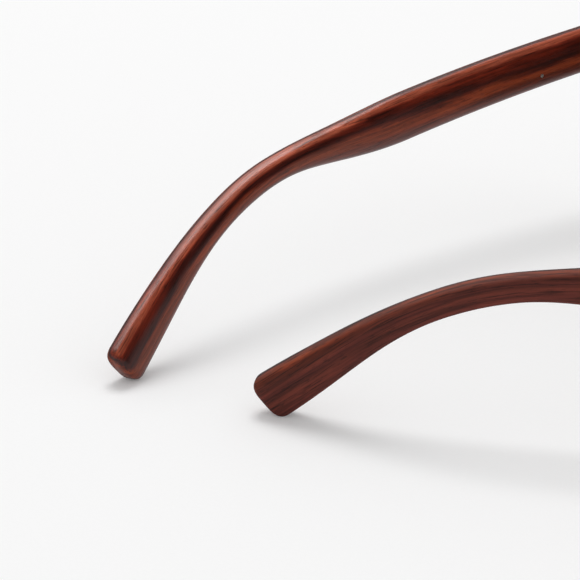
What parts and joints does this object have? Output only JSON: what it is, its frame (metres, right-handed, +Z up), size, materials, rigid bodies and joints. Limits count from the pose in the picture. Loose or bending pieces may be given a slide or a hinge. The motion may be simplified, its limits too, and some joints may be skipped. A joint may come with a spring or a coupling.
{
  "type": "wooden sunglasses",
  "caption": "Wooden sunglasses with a curved front, tinted lenses, glued nose pads and bowed temples that fold on spring hinges.",
  "frame": {"origin": "on the floor under the middle of the part's length, on the mid-plane between the hinges", "axes": "+X to the wearer's left, +Y from the front to the temple tips, +Z up"},
  "size_m": [0.1368, 0.1478, 0.049],
  "materials": {
    "wood": "satin, dark red-brown with black streaks",
    "lens": "gloss, dark smoke tint",
    "brass": "satin",
    "steel": "satin"
  },
  "bodies": {
    "front": {"front_frame": "wood", "lens_left": "lens", "lens_right": "lens", "nose_pad_left": "wood", "nose_pad_right": "wood", "hinge_leaf_left": "brass", "hinge_leaf_right": "brass", "leaf_screws_left": "steel", "leaf_screws_right": "steel", "pivot_screw_left": "steel", "pivot_screw_right": "steel"},
    "hinge_left": {"hinge_slider_left": "brass", "spring_retainer_left": "steel", "hinge_spring_left": "steel"},
    "arm_left": {"temple_left": "wood", "hinge_housing_left": "brass", "housing_pins_left": "steel"},
    "hinge_right": {"hinge_slider_right": "brass", "spring_retainer_right": "steel", "hinge_spring_right": "steel"},
    "arm_right": {"temple_right": "wood", "hinge_housing_right": "brass", "housing_pins_right": "steel"}
  },
  "joints": [
    {"name": "fold_left", "type": "hinge", "parent": "front", "child": "hinge_left", "pos_m": [0.0625, -0.05917, 0.03807], "axis": [0, 0, 1], "range_deg": [-8, 10]},
    {"name": "flex_left", "type": "slide", "parent": "hinge_left", "child": "arm_left", "axis": [-0.0726, 0.9909, -0.1132], "range_m": [0, 0.0012], "stiffness_N_per_m": 1500, "springref_m": -0.001, "deforming": ["hinge_spring_left"]},
    {"name": "fold_right", "type": "hinge", "parent": "front", "child": "hinge_right", "pos_m": [-0.0625, -0.05917, 0.03807], "axis": [0, 0, -1], "range_deg": [-27.5, 55.5]},
    {"name": "flex_right", "type": "slide", "parent": "hinge_right", "child": "arm_right", "axis": [0.3992, 0.9098, -0.1132], "range_m": [0, 0.0012], "stiffness_N_per_m": 1500, "springref_m": -0.001, "deforming": ["hinge_spring_right"]}
  ]
}
